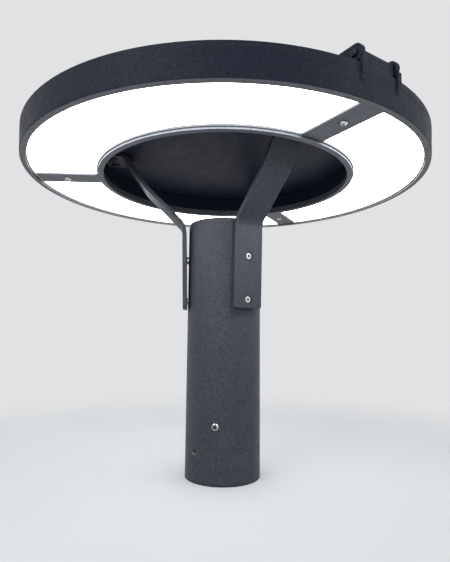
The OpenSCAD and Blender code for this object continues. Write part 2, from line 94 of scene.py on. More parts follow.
class RingLampFinish(bpy.types.PropertyGroup):
    """Colours and textures of the lamp's finishes"""

    coat: colour("Steel coat", (0.0240, 0.0273, 0.0360), "Powder coat of sleeve and arms")
    strip: colour("Strip coat", (0.085, 0.090, 0.107), "Powder coat of strips and inner rim")
    # the same paint as the steel coat, darkened as painted shade on ring, lid and pan
    casting: colour("Casting coat", (0.0090, 0.0122, 0.0250), "Powder coat of ring, lid and pan")
    lip: colour("Lip", (0.125, 0.129, 0.139), "Powder coat under the ring's lip")
    fleck: colour("Fleck", (0.17, 0.18, 0.20), "Light grains in the powder coat")
    steel: colour("Stainless steel", (0.62, 0.61, 0.59), "Screws of lid, strips, flanges and driver")
    zinc: colour("Zinc", (0.50, 0.52, 0.54), "Nuts, posts, rivet nuts and clamp screws")
    black: colour("Blackened steel", (0.010, 0.011, 0.014), "Foot bolts and hinge pin")
    thread: colour("Tapped steel", (0.20, 0.19, 0.18), "Threads in the sleeve's wall")
    aluminium: colour("Aluminium", (0.66, 0.67, 0.68), "Tray and driver case")
    opal: colour("Opal", (0.90, 0.92, 0.95), "Diffusers with the light off")
    light: colour("Light", (0.93, 0.97, 1.0), "Light of the diffusers")
    silicone: colour("Silicone", (0.44, 0.40, 0.30), "Outer gasket and lid gasket")
    dark_silicone: colour("Dark silicone", (0.06, 0.06, 0.065), "Inner gasket")
    gland: colour("Cable gland", (0.02, 0.02, 0.022), "Driver's cable glands")
    copper: colour("Copper", (0.72, 0.46, 0.22), "Lands of the LED board")
    plastic: colour("Terminal plastic", (0.80, 0.79, 0.73), "Terminal block")
    solder_mask: colour("Board", (0.82, 0.84, 0.82), "LED board")
    coat_rough: share("Coat roughness", 0.52, "Mean roughness of the powder coat")
    coat_grain: length("Coat grain", 0.8 * MM, "Size of the grains of the powder coat")
    # lighter edges: partly rubbed coat, partly a painted highlight
    wear: share("Edge wear", 0.55, "How far the edges are rubbed lighter")
    # how far the painted shade round a screw's seat reaches
    seat_shade: length("Seat shade", 4.7 * MM, "How far the dark round a screw's seat reaches")
    glow: number("Glow", 11.0, "Strength of the diffusers' light", min=0, max=20)


class RingLampFixings(bpy.types.PropertyGroup):
    """Sizes of screws and nuts"""

    m4_socket: length("M4 socket", 2.5 * MM, "Across flats of the sockets in M4 screws")
    m6_socket: length("M6 socket", 4 * MM, "Across flats of the sockets in M6 and lid screws")
    m8_socket: length("M8 socket", 4 * MM, "Across flats of the set screws' sockets")
    m4_pitch: length("M4 pitch", 0.7 * MM, "Thread pitch of M4")
    m6_pitch: length("M6 pitch", 1.0 * MM, "Thread pitch of M6")
    m8_pitch: length("M8 pitch", 1.25 * MM, "Thread pitch of M8")
    crimp: length("Crimp", 0.85 * MM, "How far the rivet nuts bulge behind the wall")
    edge: length("Edge rounding", 0.12 * MM, "Rounding of the screws' edges")


class RingLampGear(bpy.types.PropertyGroup):
    """Sizes of driver and terminal block"""

    ear: length("Driver ear", 9 * MM, "Length of the driver's mounting ears")
    ear_t: length("Ear thickness", 2 * MM, "Thickness of the driver's base plate")
    rib_h: length("Rib height", 1.1 * MM, "Height of the ribs on the driver's case")
    ribs: count("Ribs", 8, "Ribs on the driver's case", 2, 12)
    poles: count("Poles", 4, "Poles of the terminal block", 2, 6)


class RingLampStudio(bpy.types.PropertyGroup):
    """Floor, backdrop, lamps and camera"""

    floor: colour("Floor", (0.47, 0.475, 0.48), "Floor under the lamp")
    backdrop: colour("Backdrop", (0.92, 0.93, 0.94), "Backdrop behind the lamp")
    backdrop_level: share("Backdrop level", 0.82, "How pale the backdrop is seen")
    sky: colour("World", (0.93, 0.965, 1.0), "Light from all round")
    sky_strength: number("World strength", 0.5, "Strength of the world's light", min=0, max=4)
    key_power: power("Key lamp", 19, "Power of the key lamp")
    fill_power: power("Fill lamp", 8, "Power of the fill lamp")
    low_power: power("Low lamp", 4, "Power of the lamp low in front")
    eye: bpy.props.FloatVectorProperty(
        name="Camera place", description="Where the camera stands", default=(-0.00018, -0.55821, 0.16557),
        subtype="TRANSLATION", unit="LENGTH", precision=5)
    tilt: angle("Camera tilt", 6.795, "How far the camera looks up")
    roll: angle("Camera roll", 0.564, "Turn of the camera about its own axis")
    yaw: angle("Camera yaw", 0.12, "How far the camera looks to the right")
    lens: number("Lens", 28.83, "Focal length in millimetres for a 36 mm sensor",
                 subtype="DISTANCE_CAMERA", min=1)


# --- shared steps of modelling -----------------------------------------------------------------

def deselect_all():
    if bpy.context.mode != "OBJECT":
        bpy.ops.object.mode_set(mode="OBJECT")
    bpy.ops.object.select_all(action="DESELECT")


def pick(made):
    deselect_all()
    made.select_set(True)
    bpy.context.view_layer.objects.active = made


def settle():
    """Puts the active object's place, turn and size into its mesh."""
    bpy.ops.object.transform_apply(location=True, rotation=True, scale=True)
    return bpy.context.object


def apply_to(made, modifier):
    pick(made)
    bpy.ops.object.modifier_apply(modifier=modifier.name)


def edit_all():
    """Opens the active object for editing with all of it selected."""
    bpy.ops.object.mode_set(mode="EDIT")
    bpy.ops.mesh.select_all(action="SELECT")


def face_outwards():
    """Points every face outwards and leaves edit mode."""
    bpy.ops.mesh.select_all(action="SELECT")
    bpy.ops.mesh.normals_make_consistent(inside=False)
    bpy.ops.object.mode_set(mode="OBJECT")


def turn(name, stations, corners=48):
    """Turns a round solid: a filled circle extruded and resized from station to station."""
    deselect_all()
    radius, height = stations[0]
    bpy.ops.mesh.primitive_circle_add(
        vertices=corners, radius=radius, fill_type="NGON", location=(0, 0, height))
    made = settle()
    made.name = name
    edit_all()
    for wider, higher in stations[1:]:
        bpy.ops.mesh.extrude_region_move(
            TRANSFORM_OT_translate={"value": (0, 0, higher - height)})
        if wider != radius:
            grow = wider / radius
            bpy.ops.transform.resize(value=(grow, grow, 1), center_override=(0, 0, higher))
        radius, height = wider, higher
    face_outwards()
    return made


def block(name, size, place):
    """A box of a size about a place."""
    deselect_all()
    bpy.ops.mesh.primitive_cube_add(size=1, location=place, scale=size)
    made = settle()
    made.name = name
    return made


def rod(radius, depth, place, turned=(0, 0, 0), corners=24):
    """A bar about a place, round or with a few flats; it stands unless it is turned."""
    deselect_all()
    bpy.ops.mesh.primitive_cylinder_add(
        vertices=corners, radius=radius, depth=depth, location=place, rotation=turned)
    return settle()


def cut_across(made, cuts):
    """Cuts the mesh into strips at each place and direction, without removing anything."""
    pick(made)
    bpy.ops.object.mode_set(mode="EDIT")
    for place, direction in cuts:
        bpy.ops.mesh.select_all(action="SELECT")
        bpy.ops.mesh.bisect(plane_co=place, plane_no=direction)
    bpy.ops.object.mode_set(mode="OBJECT")


def draw_up(made, inside, rise):
    """Extrudes upwards the faces that look up and whose middle passes a test."""
    pick(made)
    bpy.ops.object.mode_set(mode="EDIT")
    bpy.ops.mesh.select_mode(type="FACE")
    bpy.ops.mesh.select_all(action="DESELECT")
    bpy.ops.object.mode_set(mode="OBJECT")
    for face in made.data.polygons:
        face.select = face.normal.z > 0.9 and inside(face.center)
    bpy.ops.object.mode_set(mode="EDIT")
    bpy.ops.mesh.extrude_region_move(TRANSFORM_OT_translate={"value": (0, 0, rise)})
    bpy.ops.object.mode_set(mode="OBJECT")


def cut_away(made, cutter, operation="DIFFERENCE"):
    """Cuts with a second solid, which is used up; INTERSECT keeps what lies inside it."""
    cut = made.modifiers.new("Cut", "BOOLEAN")
    cut.operation = operation
    cut.solver = "EXACT"
    cut.object = cutter
    apply_to(made, cut)
    bpy.data.objects.remove(cutter, do_unlink=True)


def round_edges(made, width, sharp=35):
    """Rounds the edges sharper than an angle in degrees and shades the piece smooth."""
    soft = made.modifiers.new("Edges", "BEVEL")
    soft.width = width
    soft.segments = 2
    soft.limit_method = "ANGLE"
    soft.angle_limit = math.radians(sharp)
    apply_to(made, soft)
    bpy.ops.object.shade_smooth_by_angle(angle=math.radians(SMOOTH))


def recess_shade(made, test):
    """Marks painted shade in recesses; the metal finishes darken there."""
    layer = made.data.attributes.new("recess_shade", "FLOAT", "POINT")
    for index, vertex in enumerate(made.data.vertices):
        layer.data[index].value = test(vertex.co)


def joined(name, parts):
    deselect_all()
    for part in parts:
        part.select_set(True)
    bpy.context.view_layer.objects.active = parts[0]
    if len(parts) > 1:
        bpy.ops.object.join()
    parts[0].name = name
    return parts[0]


def copies_at(base, name, places):
    """Copies base to each place, joins the copies into one piece and removes base."""
    made = []
    for place in places:
        pick(base)
        bpy.ops.object.duplicate(linked=False)
        bpy.context.object.matrix_world = place
        made.append(settle())
    piece = joined(name, made)
    bpy.data.objects.remove(base, do_unlink=True)
    return piece


def seat_piece(piece, finish, slot_name, *nodes, body="lamp"):
    """Gives a piece its finish and lets it ride a body, in place of any CAD nodes; slot_name is not used.
    """
    piece.data.materials.clear()
    piece.data.materials.append(finish_of(finish))
    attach(piece, body)
    if nodes:
        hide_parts(*nodes)


def fit(base, name, places, finish, slot_name, *nodes, body="lamp"):
    """Seats the copies of base at all its places, as one piece."""
    seat_piece(copies_at(base, name, places), finish, slot_name, *nodes, body=body)


# --- where the CAD's pieces lie ----------------------------------------------------------------

def islands(node):
    """The separate solids of a CAD node, each as its points."""
    mesh = NODES[node].data
    parent = {}

    def root(key):
        while parent[key] != key:
            parent[key] = parent[parent[key]]
            key = parent[key]
        return key

    keys = [tuple(round(c, 6) for c in v.co) for v in mesh.vertices]
    for key in keys:
        parent[key] = key
    for face in mesh.polygons:
        first = root(keys[face.vertices[0]])
        for v in face.vertices[1:]:
            parent[root(keys[v])] = first
    groups = {}
    for key in parent:
        groups.setdefault(root(key), []).append(Vector(key))
    return sorted(groups.values(), key=lambda points: tuple(round(c, 4) for c in points[0]))


def ends_along(points, hint):
    """The middles of a turned solid's two end faces, the one that lies towards hint last.

    Ever thinner slices of both ends bring the line between them closer to the true axis.
    """
    along = hint.normalized()
    for slice_t in (0.3 * MM, 0.1 * MM, 0.03 * MM, 0.02 * MM):
        heights = [p.dot(along) for p in points]
        low, high = min(heights), max(heights)
        tail = [p for p, h in zip(points, heights) if h < low + slice_t]
        head = [p for p, h in zip(points, heights) if h > high - slice_t]
        start = sum(tail, Vector()) / len(tail)
        end = sum(head, Vector()) / len(head)
        along = (end - start).normalized()
    return start, end


def lay_of(points, axis=None):
    """How a turned solid lies: foot, axis, length, and each point's reach and height.

    Without an axis the solid points away from the lamp's middle line.
    """
    middle = sum(points, Vector()) / len(points)
    start, end = ends_along(points, axis or Vector((middle.x, middle.y, 0)))
    along = (axis or end - start).normalized()
    around = [((p - start).cross(along).length, (p - start).dot(along)) for p in points]
    return start, along, (end - start).dot(along), around


def places_of(node, axis=None):
    """The matrix to each of a node's like solids, with one's length and its points' reaches."""
    places = []
    for points in islands(node):
        foot, along, depth, around = lay_of(points, axis)
        places.append(stand(foot, along))
    return places, depth, around


def widest(around, below=math.inf):
    return max(reach for reach, height in around if height < below)


def stand(place, axis):
    """The matrix that takes +Z to axis and the origin to place."""
    return Matrix.Translation(place) @ axis.to_track_quat("Z", "Y").to_matrix().to_4x4()


def upright(foot, turned):
    """The matrix that stands a piece on a point, turned about the vertical."""
    return Matrix.Translation(foot) @ Matrix.Rotation(turned, 4, "Z")


def upright_place(node):
    """Where a box-shaped node stands.

    Gives the matrix to the middle of its foot, its short and its long side and its height.
    """
    points = islands(node)[0]
    low = min(p.z for p in points)
    foot = [p for p in points if p.z < low + 0.1 * MM]
    middle = sum(foot, Vector()) / len(foot)
    corner = foot[0]
    short, long, _ = sorted((p - corner for p in foot[1:]), key=lambda way: way.length)
    place = upright((middle.x, middle.y, low), math.atan2(short.y, short.x))
    return place, short.length, long.length, max(p.z for p in points) - low


# --- screws ------------------------------------------------------------------------------------

HEXAGON = math.cos(math.radians(30))  # a hexagon's half width across flats, for a corner 1 away
GROOVE = 0.6  # depth of a thread's groove, in pitches
CREST = (0.42, 0.55)  # where in each turn the crest of a thread starts and ends


def thread_root(major, pitch):
    return major - GROOVE * pitch


def thread_stations(major, pitch, low, high):
    """Stations of a threaded shank between two heights, one groove a turn."""
    root = thread_root(major, pitch)
    turns = max(1, int((high - low) / pitch))
    step = (high - low) / turns
    stations = []
    for k in range(turns):
        base = low + k * step
        stations += [(root, base)] + [(major, base + part * step) for part in CREST]
    return stations + [(root, high)]


def domed_stations(depth, wide, shank, pitch, head, rim, dome, tip=0.4 * MM, plain=0.3 * MM):
    """Stations of a screw with a domed head.

    Between its tip and a plain stretch under the head the shank has a thread. The head has a
    straight rim, and dome gives the share of its width at some depths below the top.
    """
    seat = depth - head
    return ([(shank * 0.8, 0)] + thread_stations(shank, pitch, tip, seat - plain)
            + [(shank, seat), (wide, seat), (wide, seat + rim)]
            + [(wide * part, depth - below) for part, below in dome])


def cut_socket(made, flats, top, sink):
    """Sinks a six-sided socket into the top."""
    over = 2 * MM
    middle = top - sink + (sink + over) / 2
    cut_away(made, rod(flats / 2 / HEXAGON, sink + over, (0, 0, middle), corners=6))


def turn_screw(name, stations, flats, sink, rounding, corners=48):
    """Turns a screw, sinks a socket into its top and rounds its edges."""
    made = turn(name, stations, corners)
    cut_socket(made, flats, stations[-1][1], sink)
    round_edges(made, rounding)
    return made


def shade_screw_recesses(made, flats, top, root=0.0):
    """Painted shade in a socket below the top, and in thread grooves of a root radius."""
    inside = flats / 2 / HEXAGON * 1.06

    def test(co):
        reach = math.hypot(co.x, co.y)
        if reach < inside and co.z < top - 0.35 * MM:
            return 1.0
        return 0.6 if reach < root * 1.01 else 0.0
    recess_shade(made, test)


# --- node groups -------------------------------------------------------------------------------

FLOAT, COLOUR, VECTOR = "NodeSocketFloat", "NodeSocketColor", "NodeSocketVector"


def feed(tree, taker, values):
    """Links what is a socket to a node's input; any other value becomes the input's own."""
    for key, value in values.items():
        if isinstance(value, bpy.types.NodeSocket):
            tree.links.new(value, taker.inputs[key])
        else:
            taker.inputs[key].default_value = value
    return taker


def put(tree, kind, values=None, **settings):
    """Adds a node with its settings and the values of its inputs."""
    made = tree.nodes.new(kind)
    for name, value in settings.items():
        setattr(made, name, value)
    return feed(tree, made, values or {})


def maths(tree, operation, first, second=0.0, clamp=False):
    return put(tree, "ShaderNodeMath", {0: first, 1: second},
               operation=operation, use_clamp=clamp).outputs[0]


def times(tree, first, second, clamp=False):
    return maths(tree, "MULTIPLY", first, second, clamp)


def plus(tree, first, second, clamp=False):
    return maths(tree, "ADD", first, second, clamp)


def measure(tree, operation, *vectors):
    """A value taken from one vector or two, such as a distance."""
    return put(tree, "ShaderNodeVectorMath", dict(enumerate(vectors)),
               operation=operation).outputs["Value"]


def parts_of(tree, vector):
    return put(tree, "ShaderNodeSeparateXYZ", {0: vector}).outputs


def spread(tree, value, low, high, to_low=0.0, to_high=1.0):
    return put(tree, "ShaderNodeMapRange",
               {0: value, 1: low, 2: high, 3: to_low, 4: to_high}, clamp=True).outputs[0]


def blend_colours(tree, share_of, first, second, mode="MIX"):
    return put(tree, "ShaderNodeMix", {0: share_of, 6: first, 7: second},
               data_type="RGBA", blend_type=mode).outputs[2]


def seen_directly(tree):
    """1 where a surface or the world is looked at, straight, mirrored or through something."""
    ray = put(tree, "ShaderNodeLightPath").outputs
    return maths(tree, "MAXIMUM", ray["Is Camera Ray"],
                 maths(tree, "MAXIMUM", ray["Is Glossy Ray"], ray["Is Transmission Ray"]))


def object_point(tree):
    return put(tree, "ShaderNodeTexCoord").outputs["Object"]


def noise(tree, size, detail, rough, stretch=None):
    """Noise with grains of a size in metres."""
    at = object_point(tree)
    if stretch:
        at = put(tree, "ShaderNodeMapping", {"Vector": at, "Scale": stretch}).outputs[0]
    scale = maths(tree, "DIVIDE", 1.0, size) if isinstance(size, bpy.types.NodeSocket) else 1.0 / size
    return put(tree, "ShaderNodeTexNoise",
               {"Vector": at, "Scale": scale, "Detail": detail, "Roughness": rough}).outputs[0]


def patches(tree, size, detail, rough, low, high, least=0.0, most=1.0):
    """Patches of a size in metres, from a least where the noise is low to a most where it is high."""
    return spread(tree, noise(tree, size, detail, rough), low, high, least, most)


def new_group(name, inputs, outputs):
    """A node group with named inputs and outputs; each input gives its kind and default."""
    group = bpy.data.node_groups.new(name, "ShaderNodeTree")
    for label, kind, default in inputs:
        made = group.interface.new_socket(name=label, in_out="INPUT", socket_type=kind)
        made.default_value = default
    for label, kind in outputs:
        group.interface.new_socket(name=label, in_out="OUTPUT", socket_type=kind)
    return group, group.nodes.new("NodeGroupInput").outputs, group.nodes.new("NodeGroupOutput")


def build_coat_grain():
    """Fine-textured powder coat: mottle, flecks, uneven gloss and a height for the bump."""
    tree, given, out = new_group("Powder coat grain", [
        ("Coat", COLOUR, (0.05, 0.05, 0.06, 1)), ("Fleck", COLOUR, (0.2, 0.2, 0.2, 1)),
        ("Grain", FLOAT, 0.0013), ("Mottle", FLOAT, 0.3), ("Flecks", FLOAT, 0.14),
        ("Rough", FLOAT, 0.5), ("Gloss", FLOAT, 0.5)],
        [("Colour", COLOUR), ("Rough", FLOAT), ("Gloss", FLOAT), ("Height", FLOAT)])
    fine = noise(tree, given["Grain"], 2.0, 0.6)
    broad = noise(tree, 50 * MM, 4.0, 0.6)
    specks = spread(tree, fine, 0.58, 0.76)
    shade = spread(tree, broad, 0.3, 0.7, 0.92, 1.10)
    deep = maths(tree, "SUBTRACT", 1.0, given["Mottle"])
    high = plus(tree, 1.0, times(tree, given["Mottle"], 1.4))
    mottle = spread(tree, fine, 0.36, 0.64, deep, high)
    clumps = patches(tree, 4.2 * MM, 2.0, 0.5, low=0.35, high=0.65, least=0.92, most=1.09)
    tone = times(tree, times(tree, shade, clumps), mottle)
    grey = put(tree, "ShaderNodeCombineXYZ", {0: tone, 1: tone, 2: tone}).outputs[0]
    toned = blend_colours(tree, 1.0, given["Coat"], grey, "MULTIPLY")
    flecked = blend_colours(tree, times(tree, specks, given["Flecks"]), toned, given["Fleck"])
    uneven = patches(tree, 18 * MM, 3.0, 0.6, low=0.3, high=0.7, least=-0.05, most=0.06)
    rough = plus(tree, given["Rough"], plus(tree, uneven, times(tree, specks, -0.12)), clamp=True)
    glint = times(tree, spread(tree, fine, 0.34, 0.66, 0.66, 1.38),
                  patches(tree, 2.6 * MM, 3.0, 0.6, low=0.32, high=0.68, least=0.86, most=1.14))
    feed(tree, out, {"Colour": flecked, "Rough": rough, "Height": fine,
                     "Gloss": times(tree, glint, given["Gloss"], clamp=True)})
    return tree


def build_edge_wear_and_highlight():
    """Where edges are rubbed and carry a painted highlight, and the normal of an edge that is softly
    rounded.
    """
    tree, given, out = new_group("Edge wear", [
        ("Width", FLOAT, 0.0006), ("Amount", FLOAT, 0.4)],
        [("Worn_and_lit", FLOAT), ("Rounded", VECTOR)])
    rounded = put(tree, "ShaderNodeBevel", {"Radius": given["Width"]}, samples=6).outputs[0]
    surface = put(tree, "ShaderNodeNewGeometry").outputs["Normal"]
    same = measure(tree, "DOT_PRODUCT", rounded, surface)
    edge = spread(tree, maths(tree, "SUBTRACT", 1.0, same), 0.01, 0.12)
    rubbed = patches(tree, 6 * MM, 4.0, 0.65, low=0.30, high=0.62, least=0.25)
    worn_and_lit = times(tree, times(tree, edge, rubbed), given["Amount"], clamp=True)
    feed(tree, out, {"Worn_and_lit": worn_and_lit, "Rounded": rounded})
    return tree


def build_dust():
    """Dust that settles on what faces up, in broad patches."""
    tree, given, out = new_group("Settled dust", [("Amount", FLOAT, 0.1)], [("Dusty", FLOAT)])
    facing = parts_of(tree, put(tree, "ShaderNodeNewGeometry").outputs["Normal"])[2]
    up = spread(tree, facing, 0.55, 0.98)
    films = patches(tree, 45 * MM, 6.0, 0.7, low=0.35, high=0.75, least=0.25)
    specks = patches(tree, 1.1 * MM, 2.0, 0.5, low=0.52, high=0.66, least=0.55)
    dusty = times(tree, times(tree, up, films), times(tree, specks, given["Amount"]), clamp=True)
    feed(tree, out, {"Dusty": dusty})
    return tree


def build_gap_shade():
    """Painted shade in gaps and creases, darker the closer the surroundings come."""
    tree, given, out = new_group("Painted_shade in gaps", [("Reach", FLOAT, 0.005)], [("Shaded", FLOAT)])
    open_air = put(tree, "ShaderNodeAmbientOcclusion", {"Distance": given["Reach"]},
                   samples=8).outputs["AO"]
    uneven = patches(tree, 8 * MM, 3.0, 0.6, low=0.3, high=0.7, least=0.75)
    feed(tree, out, {"Shaded": times(tree, spread(tree, open_air, 0.80, 0.30), uneven, clamp=True)})
    return tree


def build_metal_marks():
    """Bare metal: fine scratches, handling stains and their gloss."""
    tree, given, out = new_group("Metal marks", [
        ("Metal", COLOUR, (0.6, 0.6, 0.6, 1)), ("Stain", COLOUR, (0.25, 0.22, 0.19, 1)),
        ("Scratch", FLOAT, 0.0008), ("Rough", FLOAT, 0.3)],
        [("Colour", COLOUR), ("Rough", FLOAT), ("Height", FLOAT)])
    lines = noise(tree, given["Scratch"], 5.0, 0.7, stretch=(1.0, 0.06, 1.0))
    stained = patches(tree, 11 * MM, 4.0, 0.6, low=0.55, high=0.8, least=0.0, most=0.5)
    toned = blend_colours(tree, stained, given["Metal"], given["Stain"])
    rough = plus(tree, given["Rough"], plus(tree, spread(tree, lines, 0.3, 0.7, -0.07, 0.09),
                                            times(tree, stained, 0.3)), clamp=True)
    feed(tree, out, {"Colour": toned, "Rough": rough, "Height": lines})
    return tree


GROUP_BUILDERS = {"grain": build_coat_grain, "edge": build_edge_wear_and_highlight, "dust": build_dust,
                  "painted_shade": build_gap_shade, "marks": build_metal_marks}
GROUPS = {}


def group_in(tree, label, values):
    """Places a node group, which is built the first time."""
    if label not in GROUPS:
        GROUPS[label] = GROUP_BUILDERS[label]()
    return put(tree, "ShaderNodeGroup", values, node_tree=GROUPS[label]).outputs


# --- finishes ----------------------------------------------------------------------------------

# dark colour of painted shade on the coat
PAINTED_SHADE_ON_COAT = (0.004, 0.004, 0.005, 1)
# dark colour of painted shade on bare metal
PAINTED_SHADE_ON_METAL = (0.012, 0.011, 0.010, 1)
DUST = (0.34, 0.32, 0.29, 1)
FULL_REACH = 1.0  # metres, farther than any point of the lamp is from a screw


def new_finish(name, metallic=0.0, ior=1.5, specular=0.5):
    finish = bpy.data.materials.new(name)
    finish.use_nodes = True
    tree = finish.node_tree
    shader = feed(tree, tree.nodes["Principled BSDF"],
                  {"Metallic": metallic, "IOR": ior, "Specular IOR Level": specular})
    return finish, tree, shader


def rgba(values, gain=1.0, lift=0.0):
    """A colour for a socket, made lighter or darker by a gain and lifted towards white."""
    return (*(min(1, value * gain + lift) for value in values), 1.0)


def raise_grain(tree, shader, height, strength, distance, normal=None):
    """Lets a height stand out on a finish, over a normal where there is one."""
    values = {"Strength": strength, "Distance": distance, "Height": height}
    if normal:
        values["Normal"] = normal
    feed(tree, shader, {"Normal": put(tree, "ShaderNodeBump", values).outputs[0]})


def head_middles(node, back, axis=None):
    """The middle of each screw head on a node, moved back into its screw."""
    found = []
    for points in islands(node):
        foot, along, depth, _ = lay_of(points, axis)
        found.append(foot + along * (depth - back))
    return found


def near_any(tree, places, reach):
    """1 within a reach of any of the places."""
    nearest = FULL_REACH
    for place in places:
        gap = measure(tree, "DISTANCE", object_point(tree), tuple(place))
        nearest = maths(tree, "MINIMUM", gap, nearest)
    return spread(tree, nearest, reach + 0.05 * MM, reach - 0.05 * MM)


def powder_coat(name, coat, settings, dust=0.0, mottle=0.34, flecks=0.20, bump=0.8,
                edge=1.1 * MM, gloss=0.5, lip=None, heads=()):
    """Fine-textured powder coat with softly rounded, slightly rubbed edges that carry a painted
    highlight.

    A lip is a second colour below a height, and heads are screws with painted shade round their seats;
    gaps take painted shade as well.
    """
    finish, tree, shader = new_finish(name)
    grain = group_in(tree, "grain", {
        "Coat": rgba(coat), "Fleck": rgba(settings.fleck), "Grain": settings.coat_grain,
        "Mottle": mottle, "Flecks": flecks, "Rough": settings.coat_rough, "Gloss": gloss})
    rim = group_in(tree, "edge", {"Width": edge, "Amount": settings.wear})
    # lighter edges: partly rubbed coat, partly a painted highlight
    shown = blend_colours(tree, rim["Worn_and_lit"], grain["Colour"], rgba(coat, gain=3.2, lift=0.09))
    if dust:
        film = group_in(tree, "dust", {"Amount": dust})
        shown = blend_colours(tree, film["Dusty"], shown, DUST)
    if lip:
        tint, height = lip
        below = spread(tree, parts_of(tree, object_point(tree))[2],
                       height + 0.6 * MM, height + 0.2 * MM)
        shown = blend_colours(tree, below, shown, rgba(tint))
    # painted shade: a darker, duller coat in gaps and round the screws' seats
    painted_shade = group_in(tree, "painted_shade", {"Reach": 5 * MM})["Shaded"]
    if heads:
        painted_shade = maths(tree, "MAXIMUM", painted_shade, near_any(tree, heads, settings.seat_shade))
    feed(tree, shader, {
        "Base Color": blend_colours(tree, times(tree, painted_shade, 0.85), shown, PAINTED_SHADE_ON_COAT),
        "Specular IOR Level": times(tree, grain["Gloss"], spread(tree, painted_shade, 0.0, 1.0, 1.0, 0.1)),
        "Roughness": plus(tree, grain["Rough"], times(tree, painted_shade, 0.3), clamp=True)})
    raise_grain(tree, shader, grain["Height"], bump, 0.12 * MM, rim["Rounded"])
    return finish


def bare_metal(name, metal, stain, rough, scratch=0.8 * MM):
    """Scratched and stained metal with rubbed edges in a painted highlight, dull and dark with painted
    shade where its recesses are marked.
    """
    finish, tree, shader = new_finish(name, metallic=1.0)
    marks = group_in(tree, "marks", {
        "Metal": rgba(metal), "Stain": rgba(stain), "Scratch": scratch, "Rough": rough})
    rim = group_in(tree, "edge", {"Width": 0.25 * MM, "Amount": 0.6})
    # lighter metal along the edges: partly wear, partly a painted highlight
    worn_lit_edges = blend_colours(tree, rim["Worn_and_lit"], marks["Colour"], rgba(metal, gain=1.25))
    # painted shade in sockets, slots and thread grooves, marked on the mesh
    painted_shade = put(tree, "ShaderNodeAttribute", attribute_name="recess_shade").outputs["Fac"]
    feed(tree, shader, {
        "Base Color": blend_colours(tree, times(tree, painted_shade, 0.94), worn_lit_edges, PAINTED_SHADE_ON_METAL),
        "Metallic": spread(tree, painted_shade, 0.0, 1.0, 1.0, 0.1),
        "Roughness": plus(tree, marks["Rough"], times(tree, painted_shade, 0.35), clamp=True)})
    raise_grain(tree, shader, marks["Height"], 0.12, 0.05 * MM, rim["Rounded"])
    return finish


def soft_plastic(name, tint, rough, mottle=0.12):
    """Moulded plastic or rubber with a faint mottle."""
    finish, tree, shader = new_finish(name, specular=0.4)
    cloud = noise(tree, 4 * MM, 4.0, 0.6)
    fine = noise(tree, 0.5 * MM, 2.0, 0.5)
    feed(tree, shader, {
        "Base Color": blend_colours(tree, spread(tree, cloud, 0.3, 0.7), rgba(tint, gain=1 - mottle),
                                    rgba(tint)),
        "Roughness": spread(tree, cloud, 0.3, 0.7, rough - 0.06, rough + 0.06)})
    raise_grain(tree, shader, fine, 0.1, 0.1 * MM)
    return finish


def lit_opal(name, settings, inner, outer):
    """Opal diffuser that glows, a little less towards both rims."""
    finish, tree, shader = new_finish(name, ior=1.49, specular=0.4)
    x, y, _ = parts_of(tree, object_point(tree))
    reach = maths(tree, "SQRT", plus(tree, times(tree, x, x), times(tree, y, y)))
    from_middle = maths(tree, "ABSOLUTE", maths(tree, "SUBTRACT", reach, (inner + outer) / 2))
    wide = outer - inner
    dim = spread(tree, from_middle, wide * 0.36, wide * 0.5, 0.0, 0.22)
    cloud = patches(tree, 30 * MM, 2.0, 0.5, low=0.3, high=0.7, least=0.0, most=0.04)
    dimmed = blend_colours(tree, plus(tree, dim, cloud, clamp=True), rgba(settings.light),
                           rgba(settings.light, gain=0.55))
    milky = blend_colours(tree, cloud, rgba(settings.opal), rgba(settings.opal, gain=0.8))
    feed(tree, shader, {"Base Color": milky, "Roughness": 0.45, "Emission Color": dimmed,
                        "Emission Strength": settings.glow})
    raise_grain(tree, shader, noise(tree, 0.7 * MM, 2.0, 0.5), 0.08, 0.05 * MM)
    return finish


def board_finish(name, mask, copper):
    """Pale board with copper lands all over."""
    finish, tree, shader = new_finish(name)
    cells = put(tree, "ShaderNodeTexVoronoi", {"Vector": object_point(tree), "Scale": 60.0})
    land = spread(tree, cells.outputs["Distance"], 0.16, 0.13)
    feed(tree, shader, {"Base Color": blend_colours(tree, land, rgba(mask), rgba(copper)),
                        "Roughness": spread(tree, land, 0.0, 1.0, 0.35, 0.55)})
    return finish


FINISHES = {}


